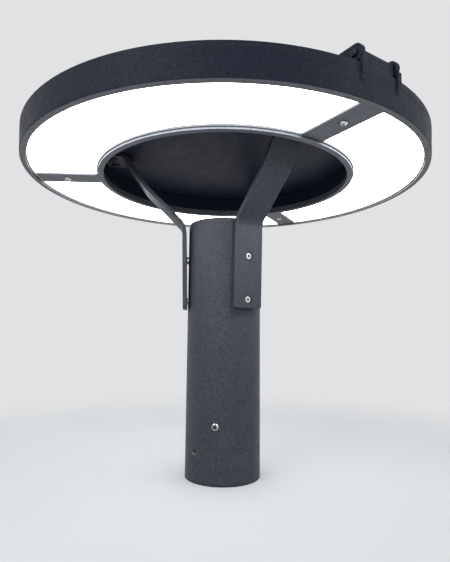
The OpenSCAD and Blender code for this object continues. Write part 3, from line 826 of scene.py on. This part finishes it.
def finish_of(key):
    """Each finish is made once, from the panel's values."""
    s = bpy.context.scene.ring_lamp_finish
    ring_foot, ring_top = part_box("outer_ring")
    cast = {"dust": 0.12, "mottle": 0.16, "flecks": 0.05, "gloss": 0.2}  # smoother than sheet
    recipes = {
        "coat": lambda: powder_coat("Coated steel", s.coat, s, gloss=0.33,
                                    heads=head_middles("flange_screws", -0.9 * MM)),
        "strip": lambda: powder_coat("Coated strip", s.strip, s, mottle=0.2,
                                     heads=head_middles("strip_screws", 2.2 * MM, DOWN)),
        # ring, lid and pan take the casting coat, darker than the steel coat as painted shade
        "casting": lambda: powder_coat("Coated casting", s.casting, s, **cast),
        "ring": lambda: powder_coat("Coated ring", s.casting, s, lip=(s.lip, ring_foot.z), **cast),
        "steel": lambda: bare_metal("Stainless steel", s.steel, (0.30, 0.27, 0.24), 0.26),
        "zinc": lambda: bare_metal("Zinc-plated steel", s.zinc, (0.33, 0.31, 0.25), 0.36),
        "black": lambda: powder_coat("Blackened steel", s.black, s, mottle=0.12, flecks=0.02,
                                     bump=0.1, edge=0.3 * MM, gloss=0.3),
        "thread": lambda: bare_metal("Tapped steel", s.thread, (0.10, 0.07, 0.05), 0.34),
        "aluminium": lambda: bare_metal("Aluminium sheet", s.aluminium, (0.57, 0.58, 0.58), 0.44,
                                        scratch=1.5 * MM),
        "opal": lambda: lit_opal("Lit opal", s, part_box("inner_rim")[1].x, ring_top.x),
        "silicone": lambda: soft_plastic("Silicone", s.silicone, 0.55),
        "dark_silicone": lambda: soft_plastic("Dark silicone", s.dark_silicone, 0.6),
        "plastic": lambda: soft_plastic("Terminal plastic", s.plastic, 0.42, mottle=0.06),
        "gland": lambda: soft_plastic("Cable gland", s.gland, 0.5),
        "board": lambda: board_finish("Board", s.solder_mask, s.copper),
    }
    if key not in FINISHES:
        FINISHES[key] = recipes[key]()
    return FINISHES[key]


def dress(key, *nodes):
    """Gives CAD nodes a finish."""
    for node in nodes:
        for slot in NODES[node].material_slots:
            slot.material = finish_of(key)


# --- operators ---------------------------------------------------------------------------------

class RINGLAMP_OT_coats(bpy.types.Operator):
    """Coats the sleeve, the arms, the strips and the castings"""

    bl_idname = "ring_lamp.coats"
    bl_label = "Coat steel and castings"

    def execute(self, context):
        dress("coat", "sleeve", "sleeve_cap", "arm_1", "arm_2", "arm_3")
        dress("strip", "strip_1", "strip_2", "strip_3", "inner_rim")
        dress("casting", "lid", "centre_pan")
        dress("ring", "outer_ring")
        return {"FINISHED"}


class RINGLAMP_OT_optics(bpy.types.Operator):
    """Finishes the diffusers, the board, the tray and the gaskets"""

    bl_idname = "ring_lamp.optics"
    bl_label = "Finish optics and tray"

    def execute(self, context):
        dress("opal", "diffuser_1", "diffuser_2", "diffuser_3")
        dress("board", "led_board")
        dress("aluminium", "led_tray")
        dress("silicone", "outer_gasket", "lid_gasket")
        dress("dark_silicone", "inner_gasket")
        dress("zinc", "strip_posts")
        return {"FINISHED"}


class RINGLAMP_OT_set_screws(bpy.types.Operator):
    """Turns the threaded set screws that grip the pole"""

    bl_idname = "ring_lamp.set_screws"
    bl_label = "Set screws"

    def execute(self, context):
        sizes = context.scene.ring_lamp_fixings
        places, depth, around = places_of("set_screws")
        major, pitch = widest(around), sizes.m8_pitch
        point = [(major * 0.55, 0), (major * 0.62, 0.5 * MM)]
        shank = thread_stations(major, pitch, low=0.8 * MM, high=depth - 0.5 * MM)
        base = turn_screw("set_screw", point + shank + [(major * 0.80, depth)], sizes.m8_socket,
                          sink=3 * MM, rounding=sizes.edge * 0.6)
        shade_screw_recesses(base, sizes.m8_socket, depth, thread_root(major, pitch))
        fit(base, "set_screws_threaded", places, "steel", "stainless", "set_screws")
        return {"FINISHED"}


class RINGLAMP_OT_flange_screws(bpy.types.Operator):
    """Turns the countersunk screws that hold the arms' flanges"""

    bl_idname = "ring_lamp.flange_screws"
    bl_label = "Flange screws"

    def execute(self, context):
        sizes = context.scene.ring_lamp_fixings
        places, depth, around = places_of("flange_screws")
        wide, major, pitch = widest(around), widest(around, below=2 * MM), sizes.m4_pitch
        cone = depth - (wide - major)
        rim = 0.12 * MM
        thread = thread_stations(major, pitch, low=0.3 * MM, high=cone - 0.4 * MM)
        head = [(major * 0.92, cone), (wide, depth - rim), (wide - rim, depth)]
        base = turn_screw("flange_screw", [(major * 0.8, 0)] + thread + head, sizes.m4_socket,
                          sink=1.6 * MM, rounding=sizes.edge * 0.6)
        shade_screw_recesses(base, sizes.m4_socket, depth, thread_root(major, pitch))
        fit(base, "flange_screws_threaded", places, "steel", "stainless", "flange_screws")
        return {"FINISHED"}


class RINGLAMP_OT_strip_screws(bpy.types.Operator):
    """Turns the domed screws under the strips"""

    bl_idname = "ring_lamp.strip_screws"
    bl_label = "Strip screws"

    def execute(self, context):
        sizes = context.scene.ring_lamp_fixings
        places, depth, around = places_of("strip_screws", DOWN)
        shank, pitch = 1.95 * MM, sizes.m4_pitch
        dome = ((0.93, 0.9 * MM), (0.80, 0.4 * MM), (0.62, 0.1 * MM), (0.5, 0))
        stations = domed_stations(depth, widest(around), shank, pitch, head=2.2 * MM, rim=0.5 * MM,
                                  dome=dome, tip=0.3 * MM)
        base = turn_screw("strip_screw", stations, sizes.m4_socket, sink=1.5 * MM,
                          rounding=sizes.edge)
        shade_screw_recesses(base, sizes.m4_socket, depth, thread_root(shank, pitch))
        fit(base, "strip_screws_domed", places, "steel", "stainless", "strip_screws")
        return {"FINISHED"}


def foot_nut(tall, reach, rounding):
    """A six-sided nut with turned chamfers, its corners a reach from its middle."""
    flat, chamfer, bore = reach * HEXAGON, 0.45 * MM, 3 * MM
    middle = (0, 0, tall / 2)
    nut = turn("foot_nut", [(flat * 0.98, 0), (reach, chamfer), (reach, tall - chamfer),
                            (flat * 0.98, tall)])
    prism = rod(reach, 3 * tall, middle, (0, 0, math.radians(30)), corners=6)
    cut_away(nut, prism, "INTERSECT")
    cut_away(nut, rod(bore, 3 * tall, middle, corners=32))
    round_edges(nut, rounding)
    return nut


class RINGLAMP_OT_foot_fixings(bpy.types.Operator):
    """Turns the bolts through the arms' feet and their nuts"""

    bl_idname = "ring_lamp.foot_fixings"
    bl_label = "Foot bolts and nuts"

    def execute(self, context):
        sizes = context.scene.ring_lamp_fixings
        places, depth, around = places_of("foot_bolts", DOWN)
        dome = ((0.94, 1.3 * MM), (0.80, 0.5 * MM), (0.60, 0.1 * MM), (0.5, 0))
        stations = domed_stations(depth, widest(around), shank=2.9 * MM, pitch=sizes.m6_pitch,
                                  head=3.2 * MM, rim=0.8 * MM, dome=dome)
        bolt = turn_screw("foot_bolt", stations, sizes.m6_socket, sink=2 * MM, rounding=sizes.edge)
        fit(bolt, "foot_bolts_threaded", places, "black", "black_steel", "foot_bolts")

        places = []
        for points in islands("foot_nuts"):
            low, high = min(p.z for p in points), max(p.z for p in points)
            middle = Vector((sum(p.x for p in points), sum(p.y for p in points))) / len(points)
            corner = max((p.xy - middle for p in points), key=lambda way: way.length)
            places.append(upright((middle.x, middle.y, low), math.atan2(corner.y, corner.x)))
        nut = foot_nut(high - low, corner.length, sizes.edge * 0.8)
        fit(nut, "foot_nuts_chamfered", places, "zinc", "zinc_steel", "foot_nuts")
        return {"FINISHED"}


class RINGLAMP_OT_lid_fixings(bpy.types.Operator):
    """Turns the hinge pin and the lid's closing screw"""

    bl_idname = "ring_lamp.lid_fixings"
    bl_label = "Hinge pin and closing screw"

    def execute(self, context):
        sizes = context.scene.ring_lamp_fixings
        places, depth, around = places_of("lid_screw", UP)
        dome = ((0.94, 1.2 * MM), (0.80, 0.45 * MM), (0.60, 0.1 * MM), (0.52, 0))
        shank, pitch = 2.4 * MM, 0.8 * MM
        stations = domed_stations(depth, widest(around), shank, pitch, head=3 * MM, rim=0.9 * MM,
                                  dome=dome, plain=1.5 * MM)
        base = turn_screw("lid_screw_base", stations, sizes.m6_socket, sink=2 * MM,
                          rounding=sizes.edge)
        shade_screw_recesses(base, sizes.m6_socket, depth, shank - 0.5 * MM)
        fit(base, "lid_screw_domed", places, "steel", "stainless", "lid_screw", body="lid")

        places, depth, around = places_of("hinge_pin", Vector(frame["joints"][0]["axis"]))
        wide, thin, head = widest(around), 2 * MM, 1.6 * MM
        rounded = ((0.55, 0), (0.85, 0.15 * MM), (1, 0.6 * MM))
        near_end = [(wide * part, inset) for part, inset in rounded] + [(wide, head), (thin, head)]
        far_end = [(radius, depth - height) for radius, height in reversed(near_end)]
        pin = turn("hinge_pin_base", near_end + far_end)
        round_edges(pin, sizes.edge)
        fit(pin, "hinge_pin_headed", places, "black", "black_steel", "hinge_pin")
        return {"FINISHED"}


class RINGLAMP_OT_rivet_nuts(bpy.types.Operator):
    """Turns the rivet nuts behind the flanges, crimped behind the sleeve's wall"""

    bl_idname = "ring_lamp.rivet_nuts"
    bl_label = "Rivet nuts"

    def execute(self, context):
        sizes = context.scene.ring_lamp_fixings
        bore, rim = 2.05 * MM, 0.3 * MM
        made = []
        for points in islands("rivet_nuts"):
            foot, along, depth, around = lay_of(points)
            collar, body = widest(around), widest(around, below=2 * MM)
            seat = min(height for reach, height in around if reach > collar - 0.1 * MM)
            bulge = body + sizes.crimp
            nut = turn("rivet_nut", [
                (body * 0.82, 0), (body, 0.5 * MM), (body, seat - 7.4 * MM),
                (bulge, seat - 6 * MM), (bulge, seat - 4.6 * MM), (body, seat - 3.7 * MM),
                (body, seat), (collar, seat), (collar, depth - rim), (collar - rim, depth)])
            cut_away(nut, rod(bore, 3 * depth, (0, 0, depth / 2)))
            round_edges(nut, sizes.edge * 0.5)
            made.append(copies_at(nut, "rivet_nut_set", [stand(foot, along)]))
        seat_piece(joined("rivet_nuts_crimped", made), "zinc", "zinc_steel", "rivet_nuts")
        return {"FINISHED"}


class RINGLAMP_OT_sleeve_threads(bpy.types.Operator):
    """Cuts the threads in the sleeve's empty holes"""

    bl_idname = "ring_lamp.sleeve_threads"
    bl_label = "Threads in the empty holes"

    def execute(self, context):
        sizes = context.scene.ring_lamp_fixings
        low_holes = (5 * MM, 50 * MM)  # heights between which the sleeve has no other edges
        edge = [v.co for v in NODES["sleeve"].data.vertices if low_holes[0] < v.co.z < low_holes[1]]
        if not edge:
            raise RuntimeError("the sleeve has no empty holes")
        lowest, highest = min(p.z for p in edge), max(p.z for p in edge)
        middle, bore = (lowest + highest) / 2, (highest - lowest) / 2
        tops, apart = {}, 20  # the highest edge points of each hole, and degrees between holes
        for p in edge:
            if p.z > highest - 0.05 * MM:
                turned = math.atan2(p.y, p.x)
                tops.setdefault(round(math.degrees(turned) / apart), []).append(turned)

        inset = 0.35 * MM
        inner = min(math.hypot(p.x, p.y) for p in edge) + inset
        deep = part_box("sleeve")[1].x - inset - inner
        liner = rod(bore - 0.02 * MM, deep, (0, 0, deep / 2), corners=48)
        minor, over = bore - 0.75 * MM, 0.2 * MM
        thread = thread_stations(bore - 0.12 * MM, sizes.m8_pitch, low=-over, high=deep + over)
        tap = turn("tap", [(minor, -MM)] + thread + [(minor, deep + MM)])
        cut_away(liner, tap)
        bpy.ops.object.shade_smooth_by_angle(angle=math.radians(30))
        # painted shade in the thread grooves
        recess_shade(liner, lambda co: 0.75 if math.hypot(co.x, co.y) > minor + 0.2 * MM else 0.0)
        places = []
        for turns in tops.values():
            way = sum(turns) / len(turns)
            ahead = Vector((math.cos(way), math.sin(way), 0))
            places.append(stand(ahead * inner + UP * middle, ahead))
        fit(liner, "sleeve_threads", places, "thread", "coated_steel")
        return {"FINISHED"}


def driver_case(sizes, wide, end, tall):
    """The driver's case, with ribs drawn up along its top, between its two ends."""
    rib_top = tall - sizes.rib_h
    seat = 0.5 * MM
    case = block("driver_case", (wide - 2 * MM, 2 * end, rib_top - seat), (0, 0, (rib_top + seat) / 2))
    span, half, stop = wide / 2 - 4 * MM, 0.65 * MM, end - 6 * MM
    ribs = [span * (2 * k / (sizes.ribs - 1) - 1) for k in range(sizes.ribs)]
    cut_across(case, [((x + side * half, 0, 0), (1, 0, 0)) for x in ribs for side in SIDES]
               + [((0, side * stop, 0), (0, 1, 0)) for side in SIDES])
    draw_up(case, lambda at: abs(at.y) < stop and any(abs(at.x - x) < half for x in ribs),
            sizes.rib_h)
    round_edges(case, 0.25 * MM, sharp=50)
    return case


def driver_plate(sizes, wide, long, holes):
    """The plate under the case, with a hole in each ear."""
    plate = block("driver_plate", (wide, long, sizes.ear_t), (0, 0, sizes.ear_t / 2))
    for y in holes:
        cut_away(plate, rod(2.2 * MM, 4 * sizes.ear_t, (0, y, 0)))
    round_edges(plate, 0.3 * MM, sharp=50)
    return plate


class RINGLAMP_OT_driver(bpy.types.Operator):
    """Models the driver: ribbed case on a plate with ears, its glands and screws"""

    bl_idname = "ring_lamp.driver"
    bl_label = "Driver"

    def execute(self, context):
        sizes = context.scene.ring_lamp_gear
        fixings = context.scene.ring_lamp_fixings
        place, wide, long, tall = upright_place("driver")
        end = long / 2 - sizes.ear
        gland = turn("gland", [(3.6 * MM, -1 * MM), (3.6 * MM, 1.6 * MM), (3.0 * MM, 1.6 * MM),
                               (2.9 * MM, 3.2 * MM), (2.3 * MM, 4.4 * MM), (1.3 * MM, 4.5 * MM)], 24)
        exits = [place @ stand(Vector((wide * 0.24, side * end, tall * 0.48)), Vector((0, side, 0)))
                 for side in SIDES]
        fit(gland, "driver_glands", exits, "gland", "dark_silicone")

        holes = [side * (long / 2 - sizes.ear / 2) for side in SIDES]
        parts = [driver_case(sizes, wide, end, tall), driver_plate(sizes, wide, long, holes)]
        fit(joined("driver_body", parts), "driver_ribbed", [place], "aluminium", "driver_case", "driver")

        top = 2.2 * MM
        screw = turn_screw("driver_screw", [
            (1.5 * MM, -2.5 * MM), (1.9 * MM, -2.2 * MM), (1.9 * MM, 0), (3.8 * MM, 0),
            (3.8 * MM, 0.6 * MM), (3.4 * MM, 1.5 * MM), (2.4 * MM, 2.1 * MM), (1.9 * MM, top)],
            fixings.m4_socket, sink=1.4 * MM, rounding=fixings.edge, corners=32)
        shade_screw_recesses(screw, fixings.m4_socket, top)
        seats = [place @ Matrix.Translation((0, y, sizes.ear_t)) for y in holes]
        fit(screw, "driver_screws", seats, "steel", "stainless")
        return {"FINISHED"}


def terminal_body(wide, long, tall, column, pitch, middles):
    """The block with a raised ridge, a well and a wire entry at each clamp, and sawn gaps."""
    shelf, ridge = tall * 0.6, column * 2
    body = block("terminal_body", (wide, long, shelf), (0, 0, shelf / 2))
    cut_across(body, [((side * ridge, 0, 0), (1, 0, 0)) for side in SIDES])
    draw_up(body, lambda at: abs(at.x) < ridge, tall - shelf)
    for y in middles:
        for side in SIDES:
            cut_away(body, rod(2.3 * MM, 12 * MM, (side * column, y, tall)))
            cut_away(body, rod(2.1 * MM, 14 * MM, (side * wide / 2, y, shelf * 0.5),
                               (0, math.radians(90), 0)))
    for k in range(len(middles) + 1):
        y = pitch * (k - len(middles) / 2)
        cut_away(body, block("saw", (2 * wide, 0.9 * MM, 4 * MM), (0, y, tall)))
    round_edges(body, 0.22 * MM, sharp=50)
    return body


def clamp_screw():
    """A slotted screw, with painted shade in its slot."""
    top, slot, chamfer = 2 * MM, 0.6 * MM, 0.2 * MM
    screw = turn("clamp_screw", [(1.3 * MM, 0), (2.0 * MM, chamfer), (2.0 * MM, top - chamfer),
                                 (1.8 * MM, top)], 24)
    cut_away(screw, block("slot", (5 * MM, slot, 1.6 * MM), (0, 0, top)))
    round_edges(screw, 0.08 * MM, sharp=50)
    recess_shade(screw, lambda co: 1.0 if co.z < 1.3 * MM and abs(co.y) < 0.35 * MM else 0.0)
    return screw


class RINGLAMP_OT_terminal_block(bpy.types.Operator):
    """Models the terminal block with its wells, wire entries and clamp screws"""

    bl_idname = "ring_lamp.terminal_block"
    bl_label = "Terminal block"

    def execute(self, context):
        poles = context.scene.ring_lamp_gear.poles
        place, wide, long, tall = upright_place("terminal_block")
        pitch = (long - 4 * MM) / poles
        middles = [pitch * (k - (poles - 1) / 2) for k in range(poles)]
        column = (wide / 2 - 4 * MM) / 2
        body = terminal_body(wide, long, tall, column, pitch, middles)
        fit(body, "terminal_block_poled", [place], "plastic", "terminal_plastic", "terminal_block")

        deep = tall - 5.6 * MM  # the screws sit in their wells, each slot turned another way
        seats = [place @ upright((side * column, y, deep), 0.5 + 1.3 * k + side)
                 for k, y in enumerate(middles) for side in SIDES]
        fit(clamp_screw(), "clamp_screws", seats, "zinc", "zinc_steel")
        return {"FINISHED"}


# --- studio ------------------------------------------------------------------------------------

def floor_paint(s):
    """Matt floor that turns, with distance in metres, into the pale backdrop."""
    paint, tree, shader = new_finish("Studio floor", specular=0.2)
    near, away = 0.14, 0.8
    cloud = patches(tree, 0.35, 3.0, 0.5, low=0.3, high=0.7)
    tone = blend_colours(tree, cloud, rgba(s.floor, gain=0.97), rgba(s.floor))
    far = spread(tree, measure(tree, "LENGTH", object_point(tree)), near, away)
    far.node.interpolation_type = "SMOOTHSTEP"
    feed(tree, shader, {"Base Color": blend_colours(tree, far, tone, rgba(s.backdrop)),
                        "Roughness": 0.85})
    seen = seen_directly(tree)
    pale = put(tree, "ShaderNodeEmission", {"Color": rgba(s.backdrop), "Strength": s.backdrop_level})
    both = put(tree, "ShaderNodeMixShader", {
        0: times(tree, seen, far), 1: shader.outputs[0], 2: pale.outputs[0]})
    feed(tree, tree.nodes["Material Output"], {"Surface": both.outputs[0]})
    return paint


def lay_floor(paint):
    """A floor whose back edge sweeps up into a wall; its sizes are in metres."""
    wide, long, wall = 9, 5, 3.2
    steps, step = 8, 0.28
    deselect_all()
    bpy.ops.mesh.primitive_plane_add(size=1, location=(0, 0, 0))
    floor = bpy.context.object
    floor.name = "studio_floor"
    edit_all()
    bpy.ops.transform.resize(value=(wide, long, 1), center_override=(0, 0, 0))
    bpy.ops.object.mode_set(mode="OBJECT")
    for vertex in floor.data.vertices:
        vertex.select = vertex.co.y > 0
    for edge in floor.data.edges:
        edge.select = all(floor.data.vertices[v].co.y > 0 for v in edge.vertices)
    for face in floor.data.polygons:
        face.select = False
    bpy.ops.object.mode_set(mode="EDIT")
    bpy.ops.mesh.select_mode(type="EDGE")
    leans = [math.radians(90 * (k + 1) / steps) for k in range(steps)]
    moves = [(0, step * math.cos(lean), step * math.sin(lean)) for lean in leans]
    for move in moves + [(0, 0, wall)]:
        bpy.ops.mesh.extrude_edges_move(TRANSFORM_OT_translate={"value": move})
    face_outwards()
    bpy.ops.object.shade_smooth()
    floor.data.materials.append(paint)


def light_world(scene, s):
    """Light from all round, which is seen as the pale backdrop."""
    world = bpy.data.worlds.new("Studio")
    scene.world = world
    world.use_nodes = True
    air = world.node_tree
    light = feed(air, air.nodes["Background"], {"Color": rgba(s.sky), "Strength": s.sky_strength})
    shown = put(air, "ShaderNodeBackground", {"Color": rgba(s.backdrop), "Strength": s.backdrop_level})
    either = put(air, "ShaderNodeMixShader", {
        0: seen_directly(air), 1: light.outputs[0], 2: shown.outputs[0]})
    feed(air, air.nodes["World Output"], {"Surface": either.outputs[0]})


def soft_lamp(name, place, aim, size, watts):
    """A broad light that shines on the middle line at a height."""
    deselect_all()
    bpy.ops.object.light_add(type="AREA", location=place)
    lamp = bpy.context.object
    lamp.name = name
    lamp.data.shape = "RECTANGLE"
    lamp.data.size, lamp.data.size_y = size
    lamp.data.energy = watts
    lamp.rotation_euler = (UP * aim - Vector(place)).to_track_quat("-Z", "Y").to_euler()


def set_camera(scene, s):
    """Stands the camera at its place and turns it by yaw, tilt and roll."""
    deselect_all()
    bpy.ops.object.camera_add(location=s.eye)
    camera = bpy.context.object
    camera.name = "Camera"
    camera.data.sensor_width = 36
    camera.data.lens = s.lens
    camera.data.clip_start = 0.01
    level = Vector((math.cos(s.yaw), -math.sin(s.yaw), 0))
    ahead = Vector((math.sin(s.yaw), math.cos(s.yaw), 0)) * math.cos(s.tilt) + UP * math.sin(s.tilt)
    above = level.cross(ahead)
    right = level * math.cos(s.roll) + above * math.sin(s.roll)
    up = above * math.cos(s.roll) - level * math.sin(s.roll)
    turned = Matrix((right, up, -ahead)).transposed().to_4x4()
    camera.matrix_world = Matrix.Translation(s.eye) @ turned
    scene.camera = camera


class RINGLAMP_OT_studio(bpy.types.Operator):
    """Lays the floor and the backdrop and sets lamps and camera"""

    bl_idname = "ring_lamp.studio"
    bl_label = "Studio"

    def execute(self, context):
        s = context.scene.ring_lamp_studio
        context.scene.view_settings.view_transform = "Standard"
        lay_floor(floor_paint(s))
        light_world(context.scene, s)
        soft_lamp("Key", (-1.6, -1.9, 1.9), aim=0.25, size=(1.6, 1.6), watts=s.key_power)
        soft_lamp("Fill", (2.2, -1.2, 1.0), aim=0.25, size=(1.5, 1.8), watts=s.fill_power)
        soft_lamp("Low", (-0.3, -1.8, 0.25), aim=0.3, size=(2.0, 0.4), watts=s.low_power)
        set_camera(context.scene, s)
        return {"FINISHED"}


# --- panel and run -----------------------------------------------------------------------------

class RINGLAMP_PT_panel(bpy.types.Panel):
    """Lists the lamp's steps and their values"""

    bl_label = "Ring lamp"
    bl_idname = "RINGLAMP_PT_panel"
    bl_space_type = "VIEW_3D"
    bl_region_type = "UI"
    bl_category = "Ring lamp"

    def draw(self, context):
        for operator in OPERATORS:
            self.layout.operator(operator.bl_idname)
        for name in VALUES:
            values = getattr(context.scene, name)
            box = self.layout.box()
            for key in values.__annotations__:
                box.prop(values, key)


OPERATORS = (RINGLAMP_OT_studio, RINGLAMP_OT_coats, RINGLAMP_OT_optics, RINGLAMP_OT_set_screws,
             RINGLAMP_OT_flange_screws, RINGLAMP_OT_strip_screws, RINGLAMP_OT_foot_fixings,
             RINGLAMP_OT_lid_fixings, RINGLAMP_OT_rivet_nuts, RINGLAMP_OT_sleeve_threads,
             RINGLAMP_OT_driver, RINGLAMP_OT_terminal_block)
VALUES = {"ring_lamp_finish": RingLampFinish, "ring_lamp_fixings": RingLampFixings,
          "ring_lamp_gear": RingLampGear, "ring_lamp_studio": RingLampStudio}
KINDS = (*VALUES.values(), *OPERATORS, RINGLAMP_PT_panel)


def register():
    for kind in KINDS:
        bpy.utils.register_class(kind)
    for name, kind in VALUES.items():
        setattr(bpy.types.Scene, name, bpy.props.PointerProperty(type=kind))


def unregister():
    for name in VALUES:
        delattr(bpy.types.Scene, name)
    for kind in reversed(KINDS):
        bpy.utils.unregister_class(kind)


def main():
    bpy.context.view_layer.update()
    register()
    deselect_all()
    bpy.ops.ring_lamp.studio()
    bpy.ops.ring_lamp.coats()
    bpy.ops.ring_lamp.optics()
    bpy.ops.ring_lamp.set_screws()
    bpy.ops.ring_lamp.flange_screws()
    bpy.ops.ring_lamp.strip_screws()
    bpy.ops.ring_lamp.foot_fixings()
    bpy.ops.ring_lamp.lid_fixings()
    bpy.ops.ring_lamp.rivet_nuts()
    bpy.ops.ring_lamp.sleeve_threads()
    bpy.ops.ring_lamp.driver()
    bpy.ops.ring_lamp.terminal_block()


if __name__ == "__main__":
    main()
